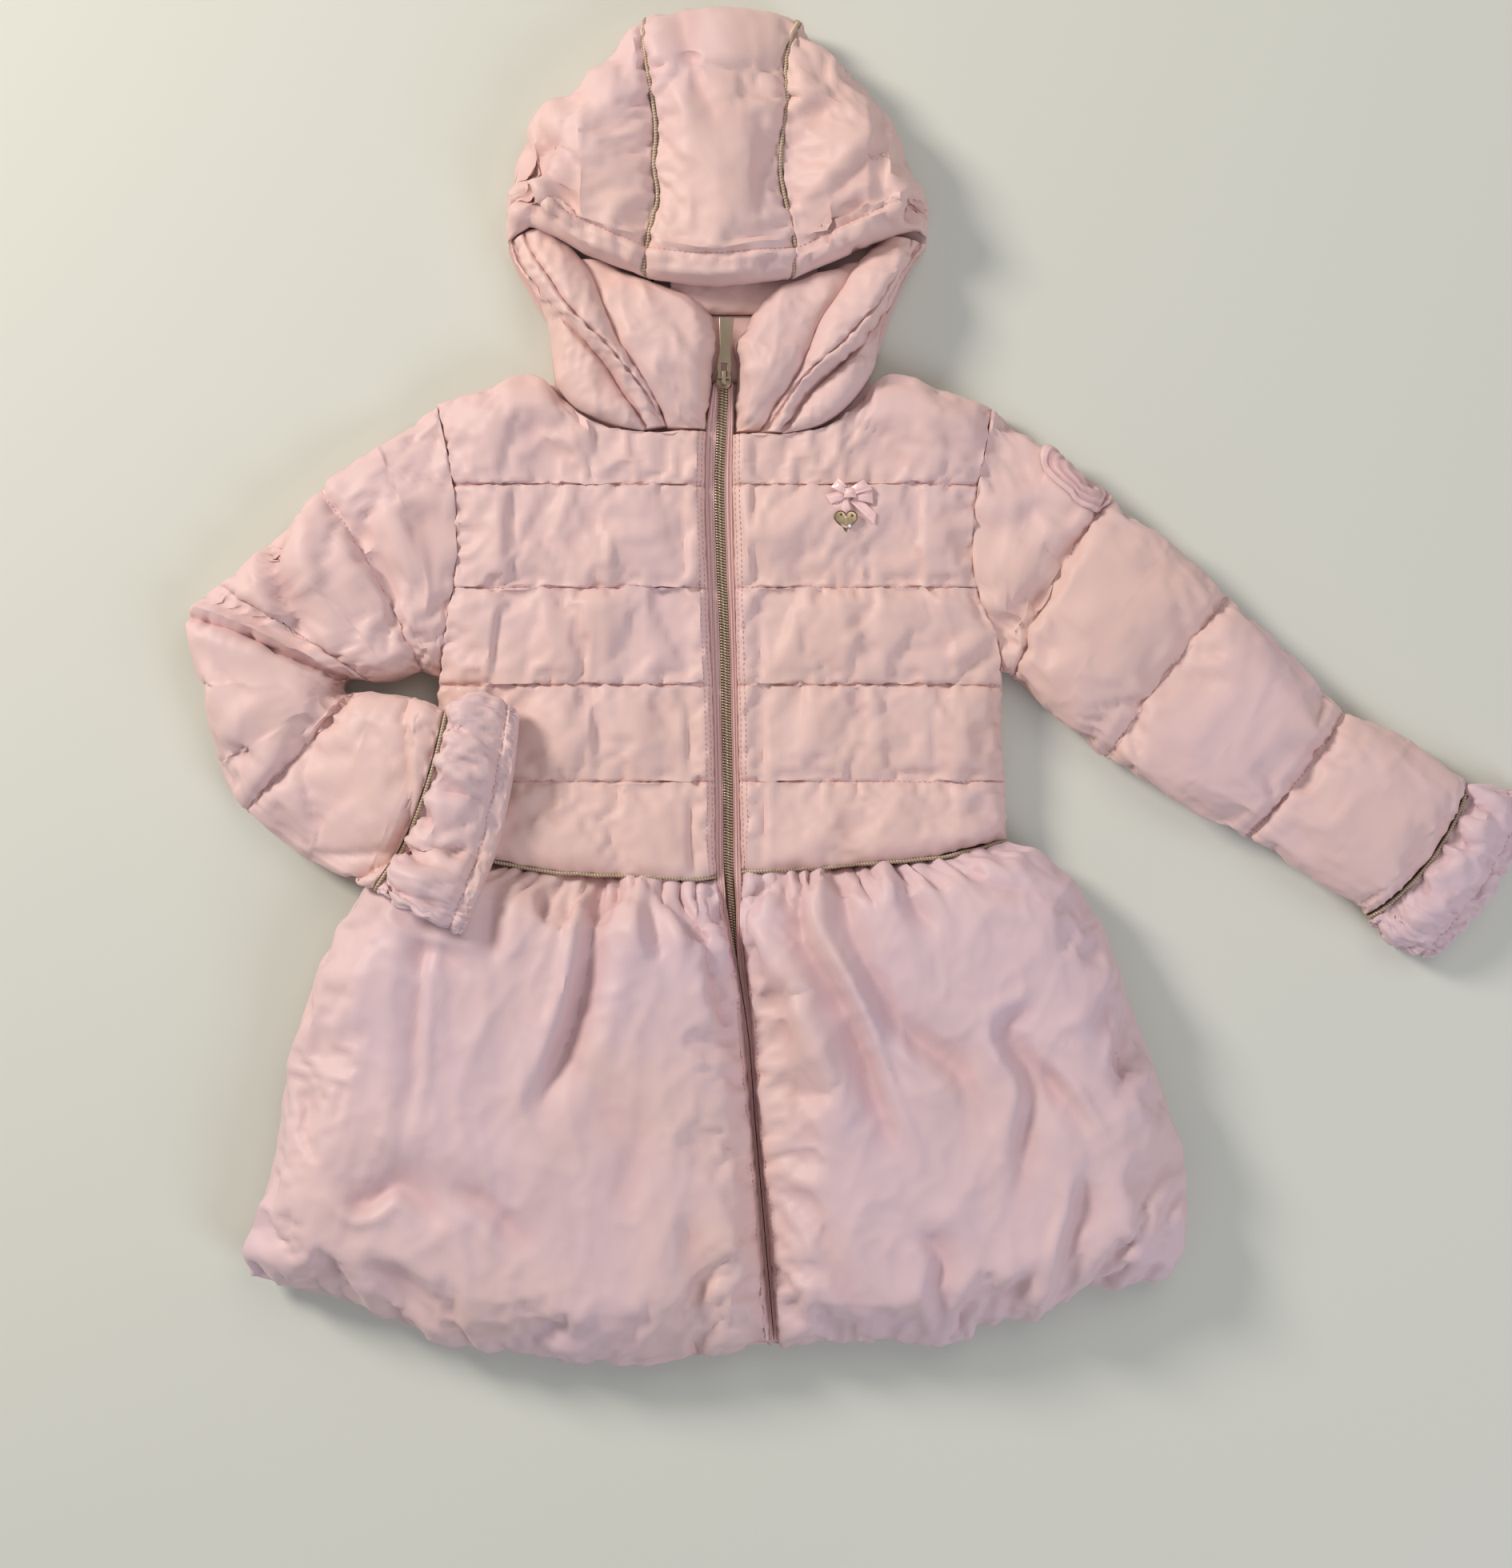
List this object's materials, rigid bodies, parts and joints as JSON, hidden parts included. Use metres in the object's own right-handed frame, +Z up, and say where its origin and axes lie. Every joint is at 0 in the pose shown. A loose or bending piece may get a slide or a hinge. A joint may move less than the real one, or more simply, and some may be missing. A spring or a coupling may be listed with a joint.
{
  "type": "padded child's coat laid flat",
  "caption": "Child's padded, hooded coat with a quilted bodice, a gathered bubble skirt, gathered cuffs and a full-length zip, laid flat with one sleeve folded in.",
  "frame": {"origin": "under the middle of the coat's bounding box, on the surface that it lies on", "axes": "+X towards the wearer's left, +Y from the hem towards the hood, +Z up from the surface"},
  "size_m": [0.7795, 0.7779, 0.0714],
  "materials": {
    "pink_shell": "smooth woven polyester with a soft sheen, padded",
    "skirt_shell": "smooth woven polyester with a soft sheen, padded",
    "zip_tape": "ribbed woven tape",
    "antique_brass": "antique brass, worn to a shine on its edges",
    "gold_piping": "metallic braided cord",
    "satin_ribbon": "satin",
    "pale_gold": "pale gold plate, bare",
    "badge_rubber": "matt moulded rings"
  },
  "bodies": {
    "coat": {"bodice_back": "pink_shell", "bodice_front_left": "pink_shell", "bodice_front_right": "pink_shell", "bow_loops_lower": "satin_ribbon", "bow_loops_upper": "satin_ribbon", "bow_tail_left": "satin_ribbon", "bow_tail_middle": "satin_ribbon", "bow_tail_right": "satin_ribbon", "collar_back": "pink_shell", "collar_left": "pink_shell", "collar_right": "pink_shell", "cuff_left": "pink_shell", "cuff_right": "pink_shell", "heart_charm": "pale_gold", "hood_centre": "pink_shell", "hood_cheek_left": "pink_shell", "hood_cheek_right": "pink_shell", "hood_side_left": "pink_shell", "hood_side_right": "pink_shell", "piping_cuff_left": "gold_piping", "piping_cuff_right": "gold_piping", "piping_hood_left": "gold_piping", "piping_hood_right": "gold_piping", "piping_waist_left": "gold_piping", "piping_waist_right": "gold_piping", "skirt_back": "skirt_shell", "skirt_front_left": "skirt_shell", "skirt_front_right": "skirt_shell", "sleeve_badge": "badge_rubber", "sleeve_left": "pink_shell", "sleeve_right": "pink_shell", "slider": "antique_brass", "zip_coil_left": "antique_brass", "zip_coil_right": "antique_brass", "zip_tape_left": "zip_tape", "zip_tape_right": "zip_tape"},
    "pull_tab": {"pull_tab": "antique_brass"}
  },
  "joints": [
    {"name": "pull_tab_hinge", "type": "hinge", "parent": "coat", "child": "pull_tab", "pos_m": [-0.0797, 0.1733, 0.028], "axis": [0.9989, -0.0471, 0], "range_deg": [0, 175]}
  ]
}
